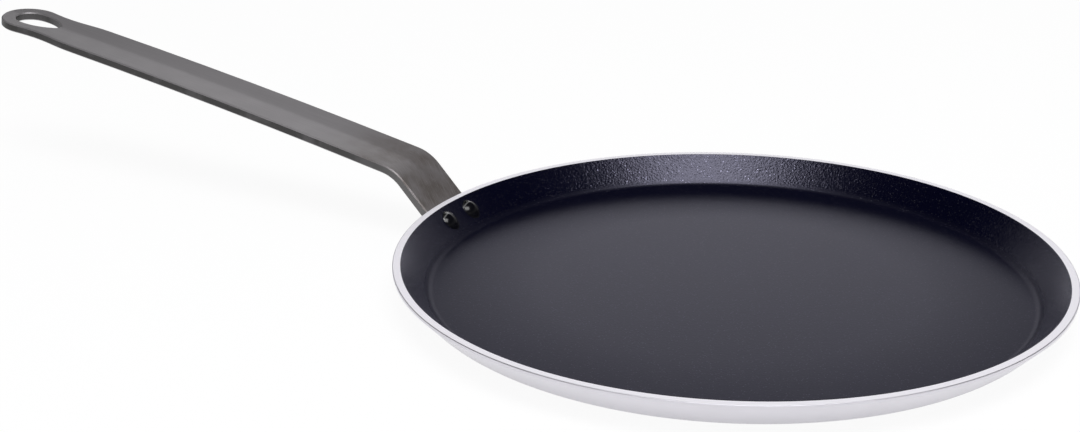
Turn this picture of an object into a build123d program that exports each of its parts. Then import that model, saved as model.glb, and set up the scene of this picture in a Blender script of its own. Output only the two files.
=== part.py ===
from build123d import *
import os
from math import cos, radians, sin, sqrt, tan

# A professional crepe pan: a thick aluminium disc pressed into a low flared pan and coated inside,
# with a bent steel strip for a handle, held on the wall by two solid rivets.
# The origin is the centre of the underside of the base, +Z is up and the handle points along +X.
# Lengths are in millimetres and angles in degrees.

# The pan
rim_diameter = 300.0        # across the outer edge of the lip
pan_height = 16.5           # from the underside of the base to the lip
metal_thickness = 3.5       # of the floor and the wall, measured square to the surface
wall_angle = 46.0           # of the wall above the horizontal
lip_edge_height = 1.4       # the upright turned edge round the lip
lip_break = 0.3             # the lip's broken outer corner
corner_radius = 4.0         # inside, where the wall runs into the floor
base_radius = 18.0          # outside, where the wall runs into the base
coating_thickness = 0.25    # the non-stick skin

# The handle, a flat steel strip
overall_length = 578.5      # from the far edge of the rim to the tip of the handle
strip_width = 32.2
strip_thickness = 4.3
run_slope = 11.1            # of the long run above the horizontal, where it leaves the bend
arch_turn = 2.9             # how much flatter the run is at the tip, as it arches gently
arch_share = 0.9            # of the run, the part that is arched
bend_rise = 17.7            # how far above the rim the lines of the foot and the run meet
bend_radius = 18.0          # inside the bend
foot_length = 14.5          # along the wall, below the upright edge of the lip
foot_corner = 6.0           # radius of the foot's two corners
edge_break = 0.6            # the bevel along all edges of the strip

# The hanging end of the handle
neck_draw = 1.9             # how much the neck draws in on each side
end_swell = 1.4             # how much wider than the neck the round end is on each side
shoulder_radius = 90.0      # where the strip turns in to the neck
neck_radius = 80.0          # where the neck turns out to the round end
eye_border = 7.4            # the metal between the eye and the tip
eye_length = 28.3           # the teardrop eye, whose narrow end points to the pan
eye_wide_radius = 8.5
eye_point_radius = 3.2
eye_side_share = 0.85       # radius of the eye's bulging sides, as a share of its length

# The rivets
rivet_pitch = 19.5          # between the two, across the strip
rivet_drop = 5.6            # from the rim down to the middle of the heads
shank_diameter = 5.0
shank_clearance = 0.05      # between the shank and its holes, on the radius
head_diameter = 11.0        # the domed head inside the pan
head_height = 2.4
head_rim = 0.7              # the upright edge under the dome
formed_diameter = 9.0       # the head formed on the handle's foot
formed_height = 1.7
formed_rim = 0.5

overrun = 5.0               # how far a cutting body runs past what it cuts
smooth_angle = 10.0         # faces that meet at less than this run on smoothly
hidden_runs = 3             # short straight runs for the corner that the coating hides

rim_radius = rim_diameter / 2
half_width = strip_width / 2
wall_sin, wall_cos, wall_tan = [f(radians(wall_angle)) for f in (sin, cos, tan)]
run_sin, run_cos = sin(radians(run_slope)), cos(radians(run_slope))
tip_sin, tip_cos = [f(radians(run_slope - arch_turn)) for f in (sin, cos)]

# The lip is as wide as the wall's thickness and the upright edge leave it
mouth_radius = rim_radius - (metal_thickness - lip_edge_height * wall_cos) / wall_sin
hollow_radius = mouth_radius - coating_thickness / wall_sin
hollow_floor = metal_thickness + coating_thickness

# Directions along and square to the foot and to both ends of the run, in the side view
along_foot, out_of_foot = Vector(wall_cos, wall_sin), Vector(wall_sin, -wall_cos)
along_run, under_run = Vector(run_cos, run_sin), Vector(run_sin, -run_cos)
along_tip, under_tip = Vector(tip_cos, tip_sin), Vector(tip_sin, -tip_cos)


def wall_and_floor(top, floor_height, radius):
    """One side of the pan in section: down the wall, round the corner and in to the axis."""
    reach = radius * tan(radians(wall_angle) / 2)
    corner = Vector(top[0] - (top[1] - floor_height) / wall_tan, floor_height)
    wall_end = corner + along_foot * reach
    floor_start = corner - Vector(reach, 0)
    return [
        Line(top, wall_end),
        RadiusArc(wall_end, floor_start, radius),
        Line(floor_start, (0, floor_height)),
    ]


def outer_side():
    """The outside of the pan in section, from the lip to the middle of the base."""
    break_start = (rim_radius - lip_break, pan_height)
    break_end = (rim_radius, pan_height - lip_break)
    wall_start = (rim_radius, pan_height - lip_edge_height)
    outside = wall_and_floor(wall_start, 0, base_radius)
    return [Line(break_start, break_end), Line(break_end, wall_start), *outside]


def metal_side():
    """The inside of the bare metal in section. The coating hides its corner, which is of short runs."""
    wall, corner, floor = wall_and_floor((mouth_radius, pan_height), metal_thickness, corner_radius)
    runs = Polyline(*[corner @ (step / hidden_runs) for step in range(hidden_runs + 1)])
    return [wall, runs, floor]


def coated_side():
    """The inside of the pan in section, coating included."""
    radius = corner_radius - coating_thickness
    return wall_and_floor((hollow_radius, pan_height), hollow_floor, radius)


def turned(*lines):
    """The solid that closed lines, drawn as radius and height, sweep round the pan's axis."""
    return revolve(make_face([Plane.XZ * line for line in lines]), Axis.Z)


def pan_blank():
    """The metal pan before it is drilled."""
    lip = Line((mouth_radius, pan_height), (rim_radius - lip_break, pan_height))
    middle = Line((0, 0), (0, metal_thickness))
    return turned(lip, *outer_side(), middle, *metal_side())


def coating_blank():
    """The non-stick skin before it is drilled."""
    top = Line((hollow_radius, pan_height), (mouth_radius, pan_height))
    middle = Line((0, metal_thickness), (0, hollow_floor))
    return turned(top, *metal_side(), middle, *coated_side())


def pan_envelope():
    """All the room that the pan fills or encloses."""
    top = Line((0, pan_height), (rim_radius - lip_break, pan_height))
    return turned(top, *outer_side(), Line((0, 0), (0, pan_height)))


def pan_hollow():
    """The room above the coating, up to the lip."""
    top = Line((0, pan_height), (hollow_radius, pan_height))
    return turned(top, *coated_side(), Line((0, hollow_floor), (0, pan_height)))


def foot_top():
    """Where the line of the foot's upper face crosses the height of the lip, in the side view.

    The flat foot is bedded into the round wall until its edges meet the wall all the way down.
    """
    end_radius = rim_radius - foot_length * wall_cos
    bedding = end_radius - sqrt(end_radius**2 - half_width**2)
    return Vector(rim_radius + lip_edge_height / wall_tan - bedding, pan_height)


def bend_point():
    """Where the upper lines of the foot and the run cross, in the side view."""
    return foot_top() + along_foot * (bend_rise / wall_sin)


def half_run():
    """From the bend to the crest of the arch, and from there to the tip, along straight lines."""
    tip_x = overall_length - rim_radius - strip_thickness * tip_sin
    return (tip_x - bend_point().X) / (run_cos + tip_cos)


def strip_line(depth):
    """Foot end, bend, crest and tip in the side view, that far under the strip's upper face."""
    foot_end = foot_top() - along_foot * (lip_edge_height / wall_sin + foot_length)
    crest = bend_point() + along_run * half_run()
    tip = crest + along_tip * half_run()
    under_bend = (out_of_foot + under_run).normalized() / cos(radians(wall_angle - run_slope) / 2)
    under_crest = (under_run + under_tip).normalized() / cos(radians(arch_turn) / 2)
    above = [foot_end, bend_point(), crest, tip]
    under = [out_of_foot, under_bend, under_crest, under_tip]
    return [point + direction * depth for point, direction in zip(above, under)]


def bent_strip():
    """The strip as it is bent, still with square ends and longer than it will be."""
    upper, lower = strip_line(0), strip_line(strip_thickness)
    for line in (upper, lower):
        line[-1] += along_tip * overrun
    arch_radius = half_run() * arch_share / tan(radians(arch_turn) / 2)
    side = [
        FilletPolyline(*upper, radius=(bend_radius + strip_thickness, arch_radius)),
        Line(upper[-1], lower[-1]),
        FilletPolyline(*lower, radius=(bend_radius, arch_radius - strip_thickness)),
        Line(upper[0], lower[0]),
    ]
    return extrude(make_face([Plane.XZ * line for line in side]), half_width, both=True)


def mirrored_face(*half):
    """The face between lines that start and end on the X axis and their mirror image."""
    return make_face([*half, *[mirror(line, about=Plane.XZ) for line in half]])


def strip_outline(end_radius, back_x):
    """The strip seen from above its tip, which is at zero: shoulders, a neck and a round end."""
    neck_half = half_width - neck_draw
    both_radii = shoulder_radius + neck_radius
    end_centre = Vector(-end_radius, 0)
    end_to_neck = sqrt((neck_radius + end_radius) ** 2 - (neck_radius + neck_half) ** 2)
    neck_centre = end_centre + Vector(-end_to_neck, neck_half + neck_radius)
    neck_to_shoulder = sqrt(both_radii**2 - (both_radii - neck_draw) ** 2)
    shoulder_x = neck_centre.X - neck_to_shoulder
    shoulder_centre = Vector(shoulder_x, half_width - shoulder_radius)

    turn_in = Vector(shoulder_x, half_width)
    turn_out = shoulder_centre + (neck_centre - shoulder_centre).normalized() * shoulder_radius
    end_start = end_centre + (neck_centre - end_centre).normalized() * end_radius
    return mirrored_face(
        Line((back_x, 0), (back_x, half_width)),
        Line((back_x, half_width), turn_in),
        RadiusArc(turn_in, turn_out, shoulder_radius),
        RadiusArc(turn_out, end_start, -neck_radius),
        RadiusArc(end_start, (0, 0), end_radius),
    )


def eye_outline():
    """The teardrop eye, seen as the strip's outline is: its wide end lies towards the tip."""
    side_radius = eye_length * eye_side_share
    wide_tip = Vector(-eye_border, 0)
    wide_centre = wide_tip - Vector(eye_wide_radius, 0)
    point_tip = wide_tip - Vector(eye_length, 0)
    point_centre = point_tip + Vector(eye_point_radius, 0)

    # The side's centre lies where the arc touches both ends from outside
    span = wide_centre.X - point_centre.X
    to_wide, to_point = side_radius - eye_wide_radius, side_radius - eye_point_radius
    along = (to_point**2 - to_wide**2 + span**2) / (2 * span)
    side_centre = point_centre + Vector(along, -sqrt(to_point**2 - along**2))
    narrow_end = side_centre + (point_centre - side_centre).normalized() * side_radius
    wide_end = side_centre + (wide_centre - side_centre).normalized() * side_radius
    return mirrored_face(
        RadiusArc(point_tip, narrow_end, eye_point_radius),
        RadiusArc(narrow_end, wide_end, side_radius),
        RadiusArc(wide_end, wide_tip, eye_wide_radius),
    )


def sharp_edges(solid):
    """The edges where two faces meet at a corner, without those where they run on smoothly."""
    sharp = []
    for edge in solid.edges():
        middle = edge @ 0.5
        sides = [face.normal_at(middle) for face in solid.faces() if edge in face.edges()]
        if len(sides) == 2 and sides[0].get_angle(sides[1]) > smooth_angle:
            sharp.append(edge)
    return ShapeList(sharp)


def handle_blank():
    """The finished strip before it is bedded on the wall and drilled."""
    foot_end, tip = strip_line(strip_thickness)[0], strip_line(0)[-1]
    tip_plane = Plane((tip.X, 0, tip.Y), (tip_cos, 0, tip_sin), (-tip_sin, 0, tip_cos))
    back_x = (foot_end - tip).dot(along_tip) - overrun
    reach = (foot_end - tip).dot(under_tip) + overrun

    end_radius = half_width - neck_draw + end_swell
    outline = strip_outline(end_radius, back_x) - eye_outline()
    strip = bent_strip() & extrude(tip_plane * outline, reach, both=True)
    foot_edges = sharp_edges(strip).filter_by(Axis((0, 0, 0), (wall_sin, 0, -wall_cos)))
    strip = fillet(foot_edges, foot_corner)
    return chamfer(sharp_edges(strip), edge_break)


def square_to_foot(point):
    """The plane at a point whose Z runs square through the wall and the foot, out of the pan."""
    return Plane(point, (wall_cos, 0, wall_sin), (wall_sin, 0, -wall_cos))


def rivet_points():
    """Where the two rivets' axes meet the bare inside of the wall, left one first."""
    side = rivet_pitch / 2
    along = sqrt((mouth_radius - rivet_drop / wall_tan) ** 2 - side**2)
    return [Vector(along, y, pan_height - rivet_drop) for y in (side, -side)]


def shank_hole(point):
    """What a rivet's hole takes from everything in its way."""
    length = metal_thickness + strip_thickness + overrun
    return square_to_foot(point) * Cylinder(shank_diameter / 2 + shank_clearance, 2 * length)


def domed_head(diameter, rim, height):
    """A head on the XY plane: an upright rim under a low dome, and a root below the plane."""
    radius = diameter / 2
    crown = height - rim
    dome_radius = (radius**2 + crown**2) / (2 * crown)
    # The ball lies on its side, which keeps its poles off the dome
    ball = Pos(0, 0, height - dome_radius) * Rot(X=90) * Sphere(dome_radius)
    return Cylinder(radius, 2 * height) & ball


def make_rivet(point):
    """The dome stands in the hollow, seated on the coating, and the formed head on the foot."""
    outward = square_to_foot(point)
    inward = Plane(point, outward.x_dir, -outward.z_dir)
    foot_face = Vector(foot_top().X - point.X, 0, foot_top().Y - point.Z)
    grip = foot_face.dot(outward.z_dir) + strip_thickness

    head = (inward * domed_head(head_diameter, head_rim, head_height)) & pan_hollow()
    formed = domed_head(formed_diameter, formed_rim, formed_height)
    formed = split(formed, Plane.XY, keep=Keep.TOP)
    shank = Pos(0, 0, -head_rim) * extrude(Circle(shank_diameter / 2), head_rim + grip)
    return head + outward * (shank + Pos(0, 0, grip) * formed)


points = rivet_points()
holes = [shank_hole(point) for point in points]
parts = {
    "pan_body": pan_blank() - holes,
    "nonstick_coating": coating_blank() - holes,
    "handle": handle_blank() - pan_envelope() - holes,
    "rivet_left": make_rivet(points[0]),
    "rivet_right": make_rivet(points[1]),
}

os.makedirs("parts", exist_ok=True)
for name, shape in parts.items():
    export_step(shape, f"parts/{name}.step")
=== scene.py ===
import math

import bmesh
import bpy
from mathutils import Matrix, Vector


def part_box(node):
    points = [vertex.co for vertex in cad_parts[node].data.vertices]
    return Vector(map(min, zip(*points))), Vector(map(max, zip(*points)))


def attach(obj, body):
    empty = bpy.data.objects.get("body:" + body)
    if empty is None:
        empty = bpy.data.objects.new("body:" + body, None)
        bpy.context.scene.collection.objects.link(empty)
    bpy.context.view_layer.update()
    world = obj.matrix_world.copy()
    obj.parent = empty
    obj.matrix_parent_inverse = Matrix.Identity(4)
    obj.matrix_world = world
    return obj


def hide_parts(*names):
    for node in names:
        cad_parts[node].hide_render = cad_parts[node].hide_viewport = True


bl_info = {
    "name": "Crepe pan",
    "version": (1, 0, 0),
    "blender": (4, 5, 0),
    "location": "3D View > Sidebar > Crepe Pan",
    "description": "Makes a coated crepe pan with a bent strip handle around its packed frame",
    "category": "Object",
}

# All lengths are in metres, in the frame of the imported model: the origin is the centre of the
# underside of the base, +Z is up and the handle points along +X.
MM = 0.001
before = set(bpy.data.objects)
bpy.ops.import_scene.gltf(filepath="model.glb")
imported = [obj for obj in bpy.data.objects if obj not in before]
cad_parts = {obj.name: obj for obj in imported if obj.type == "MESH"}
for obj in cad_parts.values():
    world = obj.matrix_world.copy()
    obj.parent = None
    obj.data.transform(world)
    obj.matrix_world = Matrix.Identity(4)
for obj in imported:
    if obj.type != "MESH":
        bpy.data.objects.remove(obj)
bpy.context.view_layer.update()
RIM_RADIUS = -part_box("pan_body")[0].x
PAN_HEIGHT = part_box("pan_body")[1].z
MOUTH_RADIUS = -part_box("nonstick_coating")[0].x
FLOOR_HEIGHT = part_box("nonstick_coating")[0].z

# Points of a turned mesh that are this close are merged, in metres
MERGE_DISTANCE = 1e-6
# Edges that turn by more than this stay sharp when they are shaded
SHARP_ANGLE = math.radians(24)
# How far a guard point lies beyond the end of a corner's arc, as a share of the arc's run
GUARD_SHARE = 0.1

# How new nodes are laid out in a tree
NODES_IN_ROW = 12
NODE_SPACING = (180, -220)

BLACK = (0.0, 0.0, 0.0)
WHITE = (1.0, 1.0, 1.0, 1.0)
SENSOR_WIDTH = 36


# Properties


def length(name, description, default):
    return bpy.props.FloatProperty(
        name=name, description=description, default=default, min=0, unit="LENGTH", precision=5
    )


def colour(name, description, default):
    return bpy.props.FloatVectorProperty(
        name=name, description=description, default=default, subtype="COLOR", size=3, min=0, max=1
    )


def share(name, description, default, top=1.0):
    return bpy.props.FloatProperty(
        name=name, description=description, default=default, min=0, max=top, subtype="FACTOR"
    )


def faces(name, description, default):
    return bpy.props.IntProperty(name=name, description=description, default=default, min=16)


def angle(name, description, default):
    """An angle, with its default given in degrees."""
    return bpy.props.FloatProperty(
        name=name, description=description, default=math.radians(default), subtype="ANGLE"
    )


class PanSizes(bpy.types.PropertyGroup):
    """Sizes of the turned pan and its coating"""

    wall_angle: angle("Wall angle", "Slope of the wall above the horizontal", 46)
    corner_radius: length("Corner radius", "Inside, where the wall runs into the floor", 4.0 * MM)
    base_radius: length("Base radius", "Outside, where the wall runs into the base", 18.0 * MM)
    lip_edge: length("Lip edge", "Height of the upright edge round the lip", 1.4 * MM)
    lip_round: length("Lip rounding", "On the outer corners of the lip", 0.35 * MM)
    coating: length("Coating", "Thickness of the non-stick skin", 0.25 * MM)
    segments: faces("Segments", "Faces round the pan", 288)


class RivetSizes(bpy.types.PropertyGroup):
    """Sizes of the two rivets"""

    pitch: length("Pitch", "Between the two rivets, across the handle", 19.5 * MM)
    drop: length("Drop", "From the rim down to the middle of the heads", 5.6 * MM)
    shank: length("Shank", "Diameter of the shank", 5.0 * MM)
    head: length("Head", "Diameter of the head inside the pan", 11.0 * MM)
    head_height: length("Head height", "How far the dome stands above the wall", 2.4 * MM)
    head_rim: length("Head rim", "Height of the head's edge", 0.35 * MM)
    flange: length("Flange", "Width of the flat ring round the dome", 0.65 * MM)
    formed: length("Formed head", "Diameter of the head on the handle's foot", 9.0 * MM)
    formed_height: length("Formed height", "How far the formed head stands out", 1.7 * MM)
    formed_rim: length("Formed rim", "Height of the formed head's edge", 0.5 * MM)
    edge: length("Edge rounding", "On the edge of the head, and half of it outside", 0.3 * MM)
    dome_foot: length("Dome foot", "Rounding where the dome meets its ring", 0.15 * MM)
    segments: faces("Segments", "Faces round each rivet", 64)


class Finishes(bpy.types.PropertyGroup):
    """Colours of the pan"""

    coating: colour("Coating", "The non-stick coating", (0.0007, 0.0011, 0.016))
    specks: colour("Specks", "The fine flakes in the coating", (0.45, 0.44, 0.58))
    aluminium: colour("Aluminium", "The turned and satin metal", (0.945, 0.925, 0.99))
    steel: colour("Steel", "The strip handle", (0.445, 0.425, 0.445))
    warm_steel: colour("Warm steel", "The handle near the pan", (0.195, 0.168, 0.155))
    # Painted shade: the strip's upright sides take this darker steel
    side_shade_steel: colour("Cut steel", "The darker sides of the strip", (0.07, 0.068, 0.068))
    rivet: colour("Rivet", "The coated rivet heads", (0.004, 0.004, 0.006))
    bare_rivet: colour("Bare rivet", "The formed heads outside the pan", (0.5, 0.5, 0.5))


class StageSettings(bpy.types.PropertyGroup):
    """Camera, light and floor"""

    camera_place: bpy.props.FloatVectorProperty(
        name="Camera place",
        description="Where the camera stands",
        default=(-0.28095, 0.67494, 0.30075),
        subtype="TRANSLATION",
        unit="LENGTH",
    )
    camera_turn: angle("Camera turn", "About the vertical, from looking along +Y", 209.2447)
    camera_dip: angle("Camera dip", "How far the camera looks down", 20.0686)
    lens: bpy.props.FloatProperty(
        name="Lens",
        description=f"Focal length on a {SENSOR_WIDTH} mm sensor",
        default=58.378,
        unit="CAMERA",
    )
    ambient: share("Ambient", "Strength of the soft light from all sides", 0.46, 4)
    overhead: share("Overhead", "Brightness of the overhead softbox", 6.1, 40)
    softbox_place: bpy.props.FloatVectorProperty(
        name="Softbox place",
        description="From the origin to the camera's right, towards the camera, and up",
        default=(0.18, 0.55, 1.5),
        subtype="TRANSLATION",
        unit="LENGTH",
    )
    softbox_width: length("Softbox width", "Across the camera's view", 0.98)
    softbox_depth: length("Softbox depth", "Along the camera's view", 0.8)
    floor_width: length("Floor width", "Width of the floor", 12.0)
    floor_colour: colour("Floor colour", "The floor where it takes a shadow", (0.85, 0.85, 0.86))
    floor_white: share("Floor white", "How far it turns plain white where it is seen", 0.9)
    floor_glow: share("Floor glow", "Brightness of that white", 1.02, 4)


# Node trees


def add(tree, kind, settings=None, **inputs):
    """Adds a node, sets its properties, and sets or links its inputs.

    An input is named as its socket, with _ for a space, or as at0, at1 and so on by its place.
    """
    made = tree.nodes.new(kind)
    row, column = divmod(len(tree.nodes), NODES_IN_ROW)
    made.location = (NODE_SPACING[0] * column, NODE_SPACING[1] * row)
    for key, value in (settings or {}).items():
        setattr(made, key, value)
    for key, value in inputs.items():
        by_place = key[:2] == "at" and key[2:].isdigit()
        socket = made.inputs[int(key[2:]) if by_place else key.replace("_", " ")]
        if isinstance(value, bpy.types.NodeSocket):
            tree.links.new(value, socket)
        else:
            socket.default_value = value
    return made


def sums(tree, operation, *values):
    """The output of a Math node."""
    inputs = {f"at{place}": value for place, value in enumerate(values)}
    return add(tree, "ShaderNodeMath", {"operation": operation}, **inputs).outputs[0]


def between(tree, value, low, high, start=0.0, end=1.0, curve="LINEAR"):
    """Runs from low to high, and no further, while the value runs from start to end."""
    return add(
        tree, "ShaderNodeMapRange", {"interpolation_type": curve},
        Value=value, From_Min=start, From_Max=end, To_Min=low, To_Max=high,
    ).outputs["Result"]


def rising(tree, value, start, end):
    """0 up to the start and 1 from the end."""
    return between(tree, value, 0.0, 1.0, start, end)


def falling(tree, value, start, end):
    """1 up to the start and 0 from the end."""
    return between(tree, value, 1.0, 0.0, start, end)


def new_tree(name, kind, sockets):
    """A node group with its inputs and outputs: {name: (way, socket kind, default)}."""
    tree = bpy.data.node_groups.new(name, kind)
    for title, (way, socket_kind, default) in sockets.items():
        made = tree.interface.new_socket(name=title, in_out=way, socket_type=socket_kind)
        if default is not None:
            made.default_value = default
    return tree


def turned_tree():
    """Turns a profile, drawn as points in the XZ plane, round the Z axis."""
    tree = new_tree("turned solid", "GeometryNodeTree", {
        "Profile": ("INPUT", "NodeSocketGeometry", None),
        "Segments": ("INPUT", "NodeSocketInt", 96),
        "Material": ("INPUT", "NodeSocketMaterial", None),
        "Solid": ("OUTPUT", "NodeSocketGeometry", None),
    })
    given = add(tree, "NodeGroupInput").outputs
    count = add(
        tree, "GeometryNodeAttributeDomainSize", {"component": "MESH"}, Geometry=given["Profile"]
    ).outputs["Point Count"]
    columns = sums(tree, "ADD", given["Segments"], 1.0)
    grid = add(tree, "GeometryNodeMeshGrid", Vertices_X=columns, Vertices_Y=count).outputs["Mesh"]

    # The grid's points are numbered up each column in turn. Half a step more keeps the division
    # clear of whole numbers, so that it is rounded down to the right column.
    index = add(tree, "GeometryNodeInputIndex").outputs["Index"]
    column = sums(tree, "FLOOR", sums(tree, "DIVIDE", sums(tree, "ADD", index, 0.5), count))
    row = sums(tree, "SUBTRACT", index, sums(tree, "MULTIPLY", column, count))
    place = add(tree, "GeometryNodeInputPosition").outputs["Position"]
    point = add(
        tree,
        "GeometryNodeSampleIndex",
        {"data_type": "FLOAT_VECTOR", "domain": "POINT"},
        Geometry=given["Profile"],
        Value=place,
        Index=row,
    ).outputs["Value"]
    turn = sums(tree, "MULTIPLY", sums(tree, "DIVIDE", column, given["Segments"]), math.tau)
    around = add(
        tree, "ShaderNodeVectorRotate", {"rotation_type": "Z_AXIS"}, Vector=point, Angle=turn
    ).outputs["Vector"]
    swept = add(tree, "GeometryNodeSetPosition", Geometry=grid, Position=around)
    closed = add(
        tree,
        "GeometryNodeMergeByDistance",
        Geometry=swept.outputs["Geometry"],
        Distance=MERGE_DISTANCE,
    )
    real = add(tree, "GeometryNodeRealizeInstances", Geometry=closed.outputs["Geometry"])
    done = add(
        tree,
        "GeometryNodeSetMaterial",
        Geometry=real.outputs["Geometry"],
        Material=given["Material"],
    )
    add(tree, "NodeGroupOutput", Solid=done.outputs["Geometry"])
    return tree


# Turned shapes


def rounded(corners, steps=12):
    """Points along corners given as (x, z, radius), each corner rounded by an arc.

    A point just before and after each arc keeps the straight runs flat when they are shaded.
    """
    points = []
    for place, (x, z, radius) in enumerate(corners):
        corner = Vector((x, z))
        if not radius:
            points.append(corner)
            continue
        before = (Vector(corners[place - 1][:2]) - corner).normalized()
        after = (Vector(corners[place + 1][:2]) - corner).normalized()
        half = before.angle(after) / 2
        centre = corner + (before + after).normalized() * (radius / math.sin(half))
        run = radius / math.tan(half)
        start, end = corner + before * run - centre, corner + after * run - centre
        sweep = start.angle_signed(end)
        points.append(corner + before * run * (1 + GUARD_SHARE))
        for step in range(steps + 1):
            spot = start.copy()
            spot.rotate(Matrix.Rotation(-sweep * step / steps, 2))
            points.append(centre + spot)
        points.append(corner + after * run * (1 + GUARD_SHARE))
    return points


def dome(radius, rim, top, steps=10):
    """Corners of a low dome from near its top to near its edge, without either."""
    crown = top - rim
    ball = (radius**2 + crown**2) / (2 * abs(crown))
    centre = top - math.copysign(ball, crown)
    spread = math.asin(radius / ball)
    turns = [spread * step / steps for step in range(1, steps)]
    return [
        (ball * math.sin(turn), centre + math.copysign(ball * math.cos(turn), crown), 0)
        for turn in turns
    ]


def wall_corner(top_radius, top, floor, slope):
    """The radius at which the line of a wall, down from its top, meets a floor."""
    return top_radius - (top - floor) / math.tan(slope)


def finished_mesh(maker, name):
    """The maker's evaluated geometry as a plain mesh object, smooth but for its sharp edges."""
    graph = bpy.context.evaluated_depsgraph_get()
    mesh = bpy.data.meshes.new_from_object(maker.evaluated_get(graph))
    mesh.name = name
    bpy.data.objects.remove(maker)
    work = bmesh.new()
    work.from_mesh(mesh)
    bmesh.ops.recalc_face_normals(work, faces=work.faces)
    work.to_mesh(mesh)
    work.free()
    mesh.shade_smooth()
    mesh.set_sharp_from_angle(angle=SHARP_ANGLE)
    piece = bpy.data.objects.new(name, mesh)
    bpy.context.scene.collection.objects.link(piece)
    return piece


def turned_piece(name, corners, segments, material):
    """A solid turned from a closed profile that starts and ends on the axis."""
    points = rounded(corners)
    profile = bpy.data.meshes.new(f"{name} profile")
    edges = [(place, place + 1) for place in range(len(points) - 1)]
    profile.from_pydata([(point.x, 0, point.y) for point in points], edges, [])
    maker = bpy.data.objects.new(f"{name} maker", profile)
    bpy.context.scene.collection.objects.link(maker)

    tree = bpy.data.node_groups.get("turned solid") or turned_tree()
    turning = maker.modifiers.new("Turned solid", "NODES")
    turning.node_group = tree
    sockets = {item.name: item.identifier for item in tree.interface.items_tree}
    turning[sockets["Segments"]] = segments
    turning[sockets["Material"]] = material
    return finished_mesh(maker, name)


# Shader groups


def speck_group():
    """Small round flakes: one in some of the cells, of different size and brightness."""
    found = bpy.data.node_groups.get("fine specks")
    if found:
        return found
    tree = new_tree("fine specks", "ShaderNodeTree", {
        "Vector": ("INPUT", "NodeSocketVector", None),
        "Spacing": ("INPUT", "NodeSocketFloat", 0.002),
        "Size": ("INPUT", "NodeSocketFloat", 0.2),
        "Amount": ("INPUT", "NodeSocketFloat", 0.5),
        "Mask": ("OUTPUT", "NodeSocketFloat", None),
    })
    # Chance adds 0 to 1 to the smallest share of the size and to the faintest brightness
    smallest, faintest = 0.4, 0.15
    solid_share = 0.5
    given = add(tree, "NodeGroupInput").outputs
    scale = sums(tree, "DIVIDE", 1.0, given["Spacing"])
    cells = add(tree, "ShaderNodeTexVoronoi", Vector=given["Vector"], Scale=scale).outputs
    chance = add(tree, "ShaderNodeSeparateColor", Color=cells["Color"]).outputs
    size = sums(tree, "MULTIPLY", given["Size"], sums(tree, "ADD", chance["Green"], smallest))
    solid = sums(tree, "MULTIPLY", size, solid_share)
    spot = between(tree, cells["Distance"], 1.0, 0.0, solid, size, "SMOOTHSTEP")
    present = sums(tree, "LESS_THAN", chance["Red"], given["Amount"])
    bright = sums(tree, "MULTIPLY", spot, sums(tree, "ADD", chance["Blue"], faintest))
    add(tree, "NodeGroupOutput", Mask=sums(tree, "MULTIPLY", bright, present))
    return tree


def mottle_group():
    """Soft uneven patches, and a finer grain."""
    found = bpy.data.node_groups.get("soft mottle")
    if found:
        return found
    tree = new_tree("soft mottle", "ShaderNodeTree", {
        "Vector": ("INPUT", "NodeSocketVector", None),
        "Patch": ("INPUT", "NodeSocketFloat", 0.02),
        "Grain": ("INPUT", "NodeSocketFloat", 0.001),
        "Patches": ("OUTPUT", "NodeSocketFloat", None),
        "Grains": ("OUTPUT", "NodeSocketFloat", None),
    })
    given = add(tree, "NodeGroupInput").outputs
    noises = {}
    for size, detail, result in (("Patch", 3.0, "Patches"), ("Grain", 2.0, "Grains")):
        scale = sums(tree, "DIVIDE", 1.0, given[size])
        noise = add(
            tree, "ShaderNodeTexNoise", Vector=given["Vector"], Scale=scale, Detail=detail
        )
        noises[result] = noise.outputs[0]
    add(tree, "NodeGroupOutput", **noises)
    return tree


def marks_group():
    """Fine tool marks: even along one way and close together across it."""
    found = bpy.data.node_groups.get("tool marks")
    if found:
        return found
    tree = new_tree("tool marks", "ShaderNodeTree", {
        "Across": ("INPUT", "NodeSocketFloat", 0.0),
        "Along": ("INPUT", "NodeSocketFloat", 0.0),
        "Spacing": ("INPUT", "NodeSocketFloat", 0.0005),
        "Length": ("INPUT", "NodeSocketFloat", 0.05),
        "Marks": ("OUTPUT", "NodeSocketFloat", None),
    })
    given = add(tree, "NodeGroupInput").outputs
    place = add(
        tree,
        "ShaderNodeCombineXYZ",
        X=sums(tree, "DIVIDE", given["Across"], given["Spacing"]),
        Y=sums(tree, "DIVIDE", given["Along"], given["Length"]),
    ).outputs["Vector"]
    marks = add(tree, "ShaderNodeTexNoise", Vector=place, Scale=1.0, Detail=3.0, Roughness=0.6)
    add(tree, "NodeGroupOutput", Marks=marks.outputs[0])
    return tree


# Materials


def new_material(name):
    """An empty material: its tree, its shader, and the object's own places and normals."""
    material = bpy.data.materials.new(name)
    material.use_nodes = True
    tree = material.node_tree
    tree.nodes.clear()
    shader = add(tree, "ShaderNodeBsdfPrincipled")
    add(tree, "ShaderNodeOutputMaterial", Surface=shader.outputs["BSDF"])
    own = add(tree, "ShaderNodeTexCoord").outputs
    return material, tree, shader, own["Object"], own["Normal"]


def add_to(tree, shader, name, value):
    """Links a value that varies over the surface to the shader's input."""
    tree.links.new(value, shader.inputs[name])


def use(tree, group, **inputs):
    """A group placed in a material with its own values."""
    return add(tree, "ShaderNodeGroup", {"node_tree": group}, **inputs).outputs


def mixed(tree, factor, first, second):
    """A colour between two, each an RGB triple or a socket."""
    first, second = [
        (*value, 1.0) if not isinstance(value, bpy.types.NodeSocket) else value
        for value in (first, second)
    ]
    return add(
        tree, "ShaderNodeMix", {"data_type": "RGBA"}, at0=factor, at6=first, at7=second
    ).outputs[2]


def shade_of(rgb, factor):
    """A darker or lighter shade of a colour."""
    return [part * factor for part in rgb]


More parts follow.
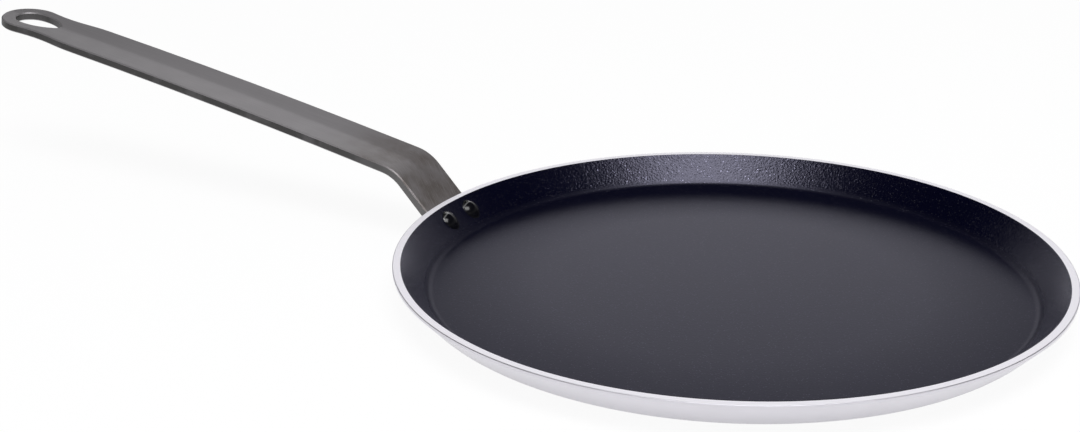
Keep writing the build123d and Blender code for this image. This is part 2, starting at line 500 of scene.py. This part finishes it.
def bump(tree, height, distance):
    """A Bump node's normal; the distance is the height's real size."""
    return add(tree, "ShaderNodeBump", Height=height, Distance=distance).outputs["Normal"]


def radius_and_height(tree, place):
    """How far a point is from the pan's axis, and how high."""
    parts = add(tree, "ShaderNodeSeparateXYZ", Vector=place).outputs
    flat = add(tree, "ShaderNodeCombineXYZ", X=parts["X"], Y=parts["Y"]).outputs["Vector"]
    radius = add(tree, "ShaderNodeVectorMath", {"operation": "LENGTH"}, at0=flat)
    return radius.outputs["Value"], parts["Z"]


# Heights above the bare floor over which the coating's looks turn from floor to wall
WALL_FOOT = (0.5 * MM, 3 * MM)
# The coating's flakes: their strength, what part of it the floor keeps, and their relief
FINE_FLAKES = 0.5
LARGE_FLAKES = 0.42
FLOOR_FLAKES = 0.35
FLAKE_RELIEF = 0.6
# The coating is this metallic where it has no flake, and where a flake is this strong
COATING_METAL = (0.35, 1.0)
METAL_FLAKE = 0.3
# Its darker patches, as a share of its colour
DARK_COATING = 0.75
# Relief of its grain, on the floor and on the wall, and the depth of a relief of 1
FLOOR_GRAIN = 0.4
WALL_GRAIN = 2.3
COATING_DEPTH = 0.08 * MM
COATING_ROUGHNESS = (0.2, 0.28)
# What the floor adds to that, out to the first radius and from the second on
FLOOR_ROUGHNESS = (0.075, 0.175)
FLOOR_RADII = (85 * MM, 134 * MM)
COATING_TINT = (0.86, 0.84, 1.0, 1.0)


def coating_material(finish):
    """Dark blue-black non-stick coating, satin, with fine pale flakes."""
    material, tree, shader, place, _normal = new_material("non-stick coating")
    radius, height = radius_and_height(tree, place)
    wall = rising(tree, height, *[FLOOR_HEIGHT + above for above in WALL_FOOT])
    uneven = use(tree, mottle_group(), Vector=place, Patch=35 * MM, Grain=1.0 * MM)
    fine = use(tree, speck_group(), Vector=place, Spacing=1.0 * MM, Size=0.3, Amount=0.5)
    large = use(tree, speck_group(), Vector=place, Spacing=1.7 * MM, Size=0.14, Amount=0.6)
    fine = sums(tree, "MULTIPLY", fine["Mask"], FINE_FLAKES)
    large = sums(tree, "MULTIPLY", large["Mask"], LARGE_FLAKES)
    specks = sums(tree, "MAXIMUM", fine, large)
    # The floor shows its flakes less than the wall does
    specks = sums(tree, "MULTIPLY", specks, between(tree, wall, FLOOR_FLAKES, 1.0))
    dark = shade_of(finish.coating, DARK_COATING)
    ground = mixed(tree, uneven["Patches"], dark, finish.coating)
    add_to(tree, shader, "Base Color", mixed(tree, specks, ground, finish.specks))
    add_to(tree, shader, "Metallic", between(tree, specks, *COATING_METAL, 0.0, METAL_FLAKE))
    # The sprayed skin is grainier on the wall than on the floor
    coarse = between(tree, wall, FLOOR_GRAIN, WALL_GRAIN)
    coarse = sums(tree, "MULTIPLY", uneven["Grains"], coarse)
    relief = sums(tree, "MULTIPLY_ADD", specks, FLAKE_RELIEF, coarse)
    add_to(tree, shader, "Normal", bump(tree, relief, COATING_DEPTH))
    # The floor is duller than the wall, and most of all towards the wall's foot
    smooth = between(tree, uneven["Grains"], *COATING_ROUGHNESS)
    dull = between(tree, radius, *FLOOR_ROUGHNESS, *FLOOR_RADII)
    dull = sums(tree, "MULTIPLY", dull, falling(tree, wall, 0.0, 1.0))
    add_to(tree, shader, "Roughness", sums(tree, "ADD", smooth, dull))
    shader.inputs["IOR"].default_value = 1.7
    shader.inputs["Specular Tint"].default_value = COATING_TINT
    return material


# How far below its top the lip's looks come in
LIP_DEPTHS = (0.5 * MM, 0.2 * MM)
# How far short of a sharp corner its outer corner's looks come in, by radius and height together
CORNER_DEPTHS = (0.42 * MM, 0.3 * MM)
# Heights over which the base's looks end, and over which the painted shade at the wall's foot does
BASE_HEIGHTS = (0.05 * MM, 0.3 * MM)
FOOT_SHADE_HEIGHTS = (3 * MM, 13 * MM)
# The aluminium's darker and lighter patches, as shares of its colour, on the wall and on the lip
SATIN_SHADES = (0.76, 0.88)
LIP_SHADES = (0.94, 1.0)
# How dark the painted shade at the wall's foot is
FOOT_PAINTED_SHADE = 0.12
SATIN_ROUGHNESS = (0.3, 0.4)
# What the lip and its outer corner add to that
LIP_ROUGHNESS = 0.06
CORNER_ROUGHNESS = 0.08
# How metallic the wall and the lip are
SATIN_METAL = 0.55
LIP_METAL = 0.12
# Relief of the turning marks off the base, and of the grain off the lip
LEAST_MARKS = 0.35
LEAST_GRAIN = 0.2
# Depth of a relief of 1
ALUMINIUM_DEPTH = 0.02 * MM


def aluminium_material(finish):
    """Turned aluminium: a bright lip with a fine grain, a satin wall with painted shade at its
    foot, and a ringed base.
    """
    material, tree, shader, place, _normal = new_material("turned aluminium")
    radius, height = radius_and_height(tree, place)
    marks = use(tree, marks_group(), Across=radius, Along=height, Spacing=0.35 * MM, Length=1 * MM)
    uneven = use(tree, mottle_group(), Vector=place, Patch=22 * MM, Grain=0.5 * MM)
    lip = rising(tree, height, *[PAN_HEIGHT - depth for depth in LIP_DEPTHS])
    base = falling(tree, height, *BASE_HEIGHTS)
    darker, lighter = [
        mixed(tree, lip, shade_of(finish.aluminium, satin), shade_of(finish.aluminium, bright))
        for satin, bright in zip(SATIN_SHADES, LIP_SHADES)
    ]
    metal = mixed(tree, uneven["Patches"], darker, lighter)
    # Painted shade: the wall darkens a little towards its foot, beside the floor
    foot = between(tree, height, FOOT_PAINTED_SHADE, 0.0, *FOOT_SHADE_HEIGHTS)
    add_to(tree, shader, "Base Color", mixed(tree, foot, metal, BLACK))
    # The outer corner of the lip is burnished: it is all metal, and smooth in its relief
    diagonal = sums(tree, "ADD", radius, height)
    edge = RIM_RADIUS + PAN_HEIGHT
    corner = rising(tree, diagonal, *[edge - depth for depth in CORNER_DEPTHS])
    rough = between(tree, uneven["Patches"], *SATIN_ROUGHNESS)
    rough = sums(tree, "MULTIPLY_ADD", lip, LIP_ROUGHNESS, rough)
    rough = sums(tree, "MULTIPLY_ADD", corner, CORNER_ROUGHNESS, rough)
    add_to(tree, shader, "Roughness", rough)
    sheen = between(tree, lip, SATIN_METAL, LIP_METAL)
    add_to(tree, shader, "Metallic", sums(tree, "MAXIMUM", sheen, corner))
    ringed = sums(tree, "MULTIPLY", marks["Marks"], sums(tree, "ADD", base, LEAST_MARKS))
    rough_lip = sums(tree, "SUBTRACT", lip, corner)
    grain = sums(tree, "MULTIPLY", uneven["Grains"], sums(tree, "ADD", rough_lip, LEAST_GRAIN))
    relief = sums(tree, "ADD", ringed, grain)
    relief = sums(tree, "MULTIPLY", relief, sums(tree, "SUBTRACT", 1.0, corner))
    add_to(tree, shader, "Normal", bump(tree, relief, ALUMINIUM_DEPTH))
    return material


# Where along X the steel's looks fade out beyond the pan, and come in towards its far end
NEAR_PAN = (165 * MM, 214 * MM)
FAR_END = (280 * MM, 480 * MM)
FAR_END_DARKNESS = 0.24
# The warm stain near the pan: its strength, over this part of the patches' range
STAIN = (0.45, 1.0)
STAIN_PATCHES = (0.36, 0.64)
# The scratches: their strength, over this part of the marks' range, and their turn in radians
SCRATCHES = 0.7
SCRATCH_MARKS = (0.54, 0.66)
SCRATCH_TURN = 0.5
# A face takes the sides' painted shade as the upright part of its normal falls through this range
SIDE_NORMALS = (0.15, 0.35)
# How many times lighter the sides' painted shade is beside the pan, a painted light there
SIDE_PAINTED_LIGHT = 2.75
# Their blotches: strength, over this part of the patches' range, and shade of the steel
BLOTCHES = 0.35
BLOTCH_PATCHES = (0.5, 0.64)
BLOTCH_SHADE = 0.5
MARK_DARKNESS = 0.3
STEEL_ROUGHNESS = (0.4, 0.55)
# Relief of the grain against the marks, and of both in millimetres
GRAIN_RELIEF = 0.5
MARK_RELIEF = 0.015
# The hollow top: its slope, and how far its rounded middle reaches, in millimetres
HOLLOW_SLOPE = 0.12
HOLLOW_ROUND = 2.0


def scratches(tree, place):
    """Fine scratches that lie askew across the strip."""
    askew = add(
        tree,
        "ShaderNodeVectorRotate",
        {"rotation_type": "Z_AXIS"},
        Vector=place,
        Angle=SCRATCH_TURN,
    )
    turned = add(tree, "ShaderNodeSeparateXYZ", Vector=askew.outputs["Vector"]).outputs
    scored = use(
        tree, marks_group(), Across=turned["Y"], Along=turned["X"], Spacing=0.3 * MM, Length=9 * MM
    )
    return between(tree, scored["Marks"], 0.0, SCRATCHES, *SCRATCH_MARKS)


def shaded_sides(tree, finish, near, patches):
    """The colour of the strip's upright sides: painted shade, lighter beside the pan as painted
    light, and blotched.
    """
    low = sums(tree, "MULTIPLY", near, near)
    painted_side = mixed(tree, low, finish.side_shade_steel, shade_of(finish.side_shade_steel, SIDE_PAINTED_LIGHT))
    blotch = between(tree, patches, 0.0, BLOTCHES, *BLOTCH_PATCHES)
    return mixed(tree, blotch, painted_side, shade_of(finish.steel, BLOTCH_SHADE))


def hollow_top(tree, across):
    """How far the top's very slight hollow rises beside its middle line, in millimetres."""
    aside = sums(tree, "DIVIDE", across, MM)
    rise = sums(tree, "SQRT", sums(tree, "MULTIPLY_ADD", aside, aside, HOLLOW_ROUND**2))
    return sums(tree, "MULTIPLY", rise, HOLLOW_SLOPE)


def steel_material(finish):
    """Grey steel strip: drawn marks along it, warmer and scratched near the pan, and painted shade
    on its upright sides.
    """
    material, tree, shader, place, normal = new_material("steel strip")
    parts = add(tree, "ShaderNodeSeparateXYZ", Vector=place).outputs
    drawn = use(
        tree, marks_group(), Across=parts["Y"], Along=parts["X"], Spacing=0.4 * MM, Length=40 * MM
    )
    uneven = use(tree, mottle_group(), Vector=place, Patch=14 * MM, Grain=0.8 * MM)
    near = falling(tree, parts["X"], *NEAR_PAN)
    stain = between(tree, uneven["Patches"], *STAIN, *STAIN_PATCHES)
    warm = sums(tree, "MULTIPLY", near, stain)
    ground = mixed(tree, warm, finish.steel, finish.warm_steel)
    # The strip is a little darker towards its far end
    far_darkening = between(tree, parts["X"], 0.0, FAR_END_DARKNESS, *FAR_END)
    ground = mixed(tree, far_darkening, ground, BLACK)
    # The bend and the slope below it are scratched
    scratched = sums(tree, "MULTIPLY", scratches(tree, place), near)
    ground = mixed(tree, scratched, ground, finish.steel)
    # Painted shade by the way a face points: the strip's upright sides and the eye's inner walls
    upright = add(tree, "ShaderNodeSeparateXYZ", Vector=normal).outputs["Z"]
    side = falling(tree, sums(tree, "ABSOLUTE", upright), *SIDE_NORMALS)
    ground = mixed(tree, side, ground, shaded_sides(tree, finish, near, uneven["Patches"]))
    dark = mixed(tree, MARK_DARKNESS, ground, BLACK)
    add_to(tree, shader, "Base Color", mixed(tree, drawn["Marks"], dark, ground))
    add_to(tree, shader, "Roughness", between(tree, uneven["Patches"], *STEEL_ROUGHNESS))
    relief = sums(tree, "MULTIPLY", uneven["Grains"], GRAIN_RELIEF)
    relief = sums(tree, "ADD", drawn["Marks"], relief)
    height = sums(tree, "MULTIPLY_ADD", relief, MARK_RELIEF, hollow_top(tree, parts["Y"]))
    add_to(tree, shader, "Normal", bump(tree, height, MM))
    shader.inputs["Metallic"].default_value = 0.6
    return material


# How far inside the rim's radius the rivets turn from coated to bare
BARE_DEPTHS = (8 * MM, 7 * MM)
RIVET_ROUGHNESS = (0.15, 0.22)
# Depth of their grain
RIVET_DEPTH = 0.01 * MM


def rivet_material(finish):
    """Rivets whose heads inside the pan are coated dark, and bare outside it."""
    material, tree, shader, place, _normal = new_material("coated rivet")
    radius, _height = radius_and_height(tree, place)
    bare = rising(tree, radius, *[RIM_RADIUS - depth for depth in BARE_DEPTHS])
    uneven = use(tree, mottle_group(), Vector=place, Patch=3 * MM, Grain=0.4 * MM)
    add_to(tree, shader, "Base Color", mixed(tree, bare, finish.rivet, finish.bare_rivet))
    add_to(tree, shader, "Metallic", bare)
    add_to(tree, shader, "Roughness", between(tree, uneven["Patches"], *RIVET_ROUGHNESS))
    add_to(tree, shader, "Normal", bump(tree, uneven["Grains"], RIVET_DEPTH))
    shader.inputs["IOR"].default_value = 1.45
    return material


# Pieces


def place_piece(piece, node):
    """Attaches a piece to the root body and hides the CAD node that it stands in for."""
    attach(piece, "root")
    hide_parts(node)


class CREPEPAN_OT_body(bpy.types.Operator):
    """Turns the aluminium pan: a flat base, a low flared wall and a flat lip"""

    bl_idname = "crepepan.body"
    bl_label = "Pan Body"

    def execute(self, context):
        sizes = context.scene.pan_sizes
        slope = sizes.wall_angle
        edge_foot = PAN_HEIGHT - sizes.lip_edge
        outer = wall_corner(RIM_RADIUS, edge_foot, 0, slope)
        inner = wall_corner(MOUTH_RADIUS, PAN_HEIGHT, FLOOR_HEIGHT, slope)
        corners = [
            (0.0, 0.0, 0),
            (outer, 0.0, sizes.base_radius),
            (RIM_RADIUS, edge_foot, sizes.lip_round),
            (RIM_RADIUS, PAN_HEIGHT, sizes.lip_round),
            (MOUTH_RADIUS, PAN_HEIGHT, 0),
            (inner, FLOOR_HEIGHT, sizes.corner_radius),
            (0.0, FLOOR_HEIGHT, 0),
        ]
        material = aluminium_material(context.scene.finishes)
        place_piece(turned_piece("body_turned", corners, sizes.segments, material), "pan_body")
        return {"FINISHED"}


class CREPEPAN_OT_coating(bpy.types.Operator):
    """Lays the dark non-stick coating on the floor and the wall"""

    bl_idname = "crepepan.coating"
    bl_label = "Coating"

    def execute(self, context):
        sizes = context.scene.pan_sizes
        slope = sizes.wall_angle
        hollow = MOUTH_RADIUS - sizes.coating / math.sin(slope)
        top = FLOOR_HEIGHT + sizes.coating
        outer = wall_corner(MOUTH_RADIUS, PAN_HEIGHT, FLOOR_HEIGHT, slope)
        inner = wall_corner(hollow, PAN_HEIGHT, top, slope)
        corners = [
            (0.0, FLOOR_HEIGHT, 0),
            (outer, FLOOR_HEIGHT, sizes.corner_radius),
            (MOUTH_RADIUS, PAN_HEIGHT, 0),
            (hollow, PAN_HEIGHT, 0),
            (inner, top, sizes.corner_radius - sizes.coating),
            (0.0, top, 0),
        ]
        material = coating_material(context.scene.finishes)
        piece = turned_piece("coating_skin", corners, sizes.segments, material)
        place_piece(piece, "nonstick_coating")
        return {"FINISHED"}


class CREPEPAN_OT_handle(bpy.types.Operator):
    """Finishes the bent steel strip"""

    bl_idname = "crepepan.handle"
    bl_label = "Handle"

    def execute(self, context):
        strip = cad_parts["handle"]
        strip.data.materials.clear()
        strip.data.materials.append(steel_material(context.scene.finishes))
        return {"FINISHED"}


def rivet_corners(sizes, head_top, formed_top):
    """A rivet's profile, with its heights measured along the shank from the wall into the pan."""
    shank, head, formed = sizes.shank / 2, sizes.head / 2, sizes.formed / 2
    grip = formed_top + sizes.formed_height
    rim = head_top - sizes.head_height + sizes.head_rim
    formed_rim = grip - sizes.formed_rim
    return [
        (0.0, head_top, 0),
        *dome(head - sizes.flange, rim, head_top),
        (head - sizes.flange, rim, sizes.dome_foot),
        (head, rim, sizes.edge),
        (head, 0.0, 0),
        (shank, 0.0, 0),
        (shank, grip, 0),
        (formed, grip, 0),
        (formed, formed_rim, sizes.edge / 2),
        *reversed(dome(formed, formed_rim, formed_top)),
        (0.0, formed_top, 0),
    ]


class CREPEPAN_OT_rivets(bpy.types.Operator):
    """Sets the two rivets, with domed heads inside the pan and formed heads on the foot"""

    bl_idname = "crepepan.rivets"
    bl_label = "Rivets"

    def execute(self, context):
        sizes = context.scene.rivet_sizes
        slope = context.scene.pan_sizes.wall_angle
        material = rivet_material(context.scene.finishes)
        side = sizes.pitch / 2
        reach = MOUTH_RADIUS - sizes.drop / math.tan(slope)
        along = math.sqrt(reach**2 - side**2)
        outward = Vector((math.sin(slope), 0, -math.cos(slope)))
        across = Vector((0, 1, 0))
        down_wall = outward.cross(across)
        upright = Matrix((down_wall, across, -outward)).transposed().to_4x4()

        for node, y in (("rivet_left", side), ("rivet_right", -side)):
            # The heads reach as far in and out along the shank as the solid's do
            seat = Vector((along, y, PAN_HEIGHT - sizes.drop))
            depths = [(v.co - seat).dot(outward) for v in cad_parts[node].data.vertices]
            corners = rivet_corners(sizes, -min(depths), -max(depths))
            piece = turned_piece(f"{node}_domed", corners, sizes.segments, material)
            piece.data.transform(Matrix.Translation(seat) @ upright)
            place_piece(piece, node)
        return {"FINISHED"}


# Stage


class CREPEPAN_OT_stage(bpy.types.Operator):
    """Sets the floor, the light and the camera"""

    bl_idname = "crepepan.stage"
    bl_label = "Stage"

    def execute(self, context):
        scene = context.scene
        stage = scene.stage_settings
        scene.view_settings.view_transform = "Standard"
        # The light is set out as the camera sees it: to its right, towards it and up
        up = Vector((0, 0, 1))
        to_camera = (Vector(stage.camera_place) * Vector((1, 1, 0))).normalized()
        directions = Matrix((up.cross(to_camera), to_camera, up)).transposed()
        make_floor(scene, stage)
        make_world(scene, stage, to_camera)
        make_softbox(scene, stage, directions)
        make_camera(scene, stage)
        return {"FINISHED"}


def floor_material(stage):
    """Matt under the lights, and nearly plain white where it is seen."""
    material = bpy.data.materials.new("pale floor")
    material.use_nodes = True
    tree = material.node_tree
    tree.nodes.clear()
    path = add(tree, "ShaderNodeLightPath").outputs
    seen = sums(tree, "MAXIMUM", path["Is Camera Ray"], path["Is Glossy Ray"])
    seen = sums(tree, "MAXIMUM", seen, path["Is Transmission Ray"])
    matt = add(tree, "ShaderNodeBsdfDiffuse", Color=(*stage.floor_colour, 1.0)).outputs[0]
    white = add(tree, "ShaderNodeEmission", Color=WHITE, Strength=stage.floor_glow).outputs[0]
    part = sums(tree, "MULTIPLY", seen, stage.floor_white)
    both = add(tree, "ShaderNodeMixShader", at0=part, at1=matt, at2=white).outputs[0]
    add(tree, "ShaderNodeOutputMaterial", Surface=both)
    return material


def make_floor(scene, stage):
    """A pale floor that the camera sees as white, with the pan's soft shadow on it."""
    half = stage.floor_width / 2
    corners = [(-half, -half, 0), (half, -half, 0), (half, half, 0), (-half, half, 0)]
    mesh = bpy.data.meshes.new("floor")
    mesh.from_pydata(corners, [], [(0, 1, 2, 3)])
    mesh.materials.append(floor_material(stage))
    floor = bpy.data.objects.new("floor", mesh)
    scene.collection.objects.link(floor)


def facing(tree, way, axis, turn):
    """How far a direction lies along the axis, when that is turned about the vertical."""
    turned = Matrix.Rotation(turn, 3, "Z") @ axis
    lies = add(tree, "ShaderNodeVectorMath", {"operation": "DOT_PRODUCT"}, at0=way, at1=turned)
    return lies.outputs["Value"]


def blended(tree, factor, first, second):
    """A number between two."""
    return add(
        tree, "ShaderNodeMix", {"data_type": "FLOAT"}, at0=factor, at2=first, at3=second
    ).outputs[0]


# The studio that gloss shows. Its heights are the sines of the directions' angles above level.
# The pale band comes in over its foot, from this share of it, and goes over its top into the
# dark ceiling.
BAND_FOOT = (0.17, 0.36)
BELOW_BAND = 0.03
BAND_TOP = (0.26, 0.53)
BAND_TO_CEILING = (2.15, 0.01)
# The band's ends lie on the axis, turned by this. A higher power makes them narrower.
BAND_TURN = math.radians(3)
END_POWER = 8.0
END_BRIGHTNESS = 1.25
SIDE_BRIGHTNESS = 0.12
# The horizon behind the pan: its turn, how far it spreads as a cosine, its top and brightness
HORIZON_TURN = math.radians(-11)
HORIZON_SPREAD = (-0.91, -0.72)
HORIZON_TOP = (0.04, 0.15)
HORIZON_BRIGHTNESS = 1.25


def make_world(scene, stage, axis):
    """White where it is seen, and plain soft light.

    Where gloss shows it, it is a low pale band under a dark ceiling, brightest at both ends of
    the axis, and a white horizon behind the pan.
    """
    world = bpy.data.worlds.new("studio")
    scene.world = world
    world.use_nodes = True
    tree = world.node_tree
    tree.nodes.clear()
    path = add(tree, "ShaderNodeLightPath").outputs
    way = add(tree, "ShaderNodeTexCoord").outputs["Generated"]
    height = add(tree, "ShaderNodeSeparateXYZ", Vector=way).outputs["Z"]
    foot = between(tree, height, BELOW_BAND, 1.0, *BAND_FOOT)
    band = between(tree, height, *BAND_TO_CEILING, *BAND_TOP, "SMOOTHSTEP")
    band = sums(tree, "MULTIPLY", foot, band)
    along = sums(tree, "ABSOLUTE", facing(tree, way, axis, BAND_TURN))
    ends = sums(tree, "POWER", along, END_POWER)
    ends = sums(tree, "MULTIPLY_ADD", ends, END_BRIGHTNESS, SIDE_BRIGHTNESS)
    band = sums(tree, "MULTIPLY", band, ends)
    # Behind the pan, and a little to its right, the white floor runs on up to the horizon
    behind = falling(tree, facing(tree, way, axis, HORIZON_TURN), *HORIZON_SPREAD)
    horizon = between(tree, height, HORIZON_BRIGHTNESS, 0.0, *HORIZON_TOP)
    studio = sums(tree, "MULTIPLY_ADD", behind, horizon, band)
    gloss = sums(tree, "MAXIMUM", path["Is Glossy Ray"], path["Is Transmission Ray"])
    strength = blended(tree, gloss, stage.ambient, studio)
    strength = blended(tree, path["Is Camera Ray"], strength, 1.0)
    light = add(tree, "ShaderNodeBackground", Color=WHITE, Strength=strength)
    add(tree, "ShaderNodeOutputWorld", Surface=light.outputs[0])


def make_softbox(scene, stage, directions):
    """A soft light that looks at the pan, with the same brightness over its whole face."""
    lamp = bpy.data.lights.new("overhead softbox", "AREA")
    lamp.shape = "RECTANGLE"
    lamp.size, lamp.size_y = stage.softbox_width, stage.softbox_depth
    lamp.energy = stage.overhead * math.pi * stage.softbox_width * stage.softbox_depth
    box = bpy.data.objects.new("overhead softbox", lamp)
    scene.collection.objects.link(box)
    place = directions @ Vector(stage.softbox_place)
    box.location = place
    box.rotation_euler = (-place).to_track_quat("-Z", "Y").to_euler()
    box.visible_camera = False


def make_camera(scene, stage):
    """The camera at the photograph's viewing angle."""
    lens = bpy.data.cameras.new("camera")
    lens.lens = stage.lens
    lens.sensor_width = SENSOR_WIDTH
    lens.clip_start = 10 * MM
    camera = bpy.data.objects.new("camera", lens)
    scene.collection.objects.link(camera)
    camera.location = stage.camera_place
    camera.rotation_euler = (math.pi / 2 - stage.camera_dip, 0, stage.camera_turn)
    scene.camera = camera


# Panel and registration


class CREPEPAN_PT_panel(bpy.types.Panel):
    """Lists the sizes, finishes and pieces of the crepe pan"""

    bl_idname = "CREPEPAN_PT_panel"
    bl_label = "Crepe Pan"
    bl_space_type = "VIEW_3D"
    bl_region_type = "UI"
    bl_category = "Crepe Pan"

    def draw(self, context):
        for group in GROUPS:
            settings = getattr(context.scene, group)
            for name in settings.bl_rna.properties.keys():
                if name not in ("rna_type", "name"):
                    self.layout.prop(settings, name)
        for operator in OPERATORS:
            self.layout.operator(operator.bl_idname)


GROUPS = {
    "pan_sizes": PanSizes,
    "rivet_sizes": RivetSizes,
    "finishes": Finishes,
    "stage_settings": StageSettings,
}
OPERATORS = (
    CREPEPAN_OT_stage,
    CREPEPAN_OT_body,
    CREPEPAN_OT_coating,
    CREPEPAN_OT_handle,
    CREPEPAN_OT_rivets,
)


def register():
    for kind in (*GROUPS.values(), *OPERATORS, CREPEPAN_PT_panel):
        bpy.utils.register_class(kind)
    for name, kind in GROUPS.items():
        setattr(bpy.types.Scene, name, bpy.props.PointerProperty(type=kind))


def unregister():
    for name in GROUPS:
        delattr(bpy.types.Scene, name)
    for kind in (CREPEPAN_PT_panel, *OPERATORS, *GROUPS.values()):
        bpy.utils.unregister_class(kind)


def main():
    register()
    bpy.ops.crepepan.stage()
    bpy.ops.crepepan.body()
    bpy.ops.crepepan.coating()
    bpy.ops.crepepan.handle()
    bpy.ops.crepepan.rivets()


if __name__ == "__main__":
    main()
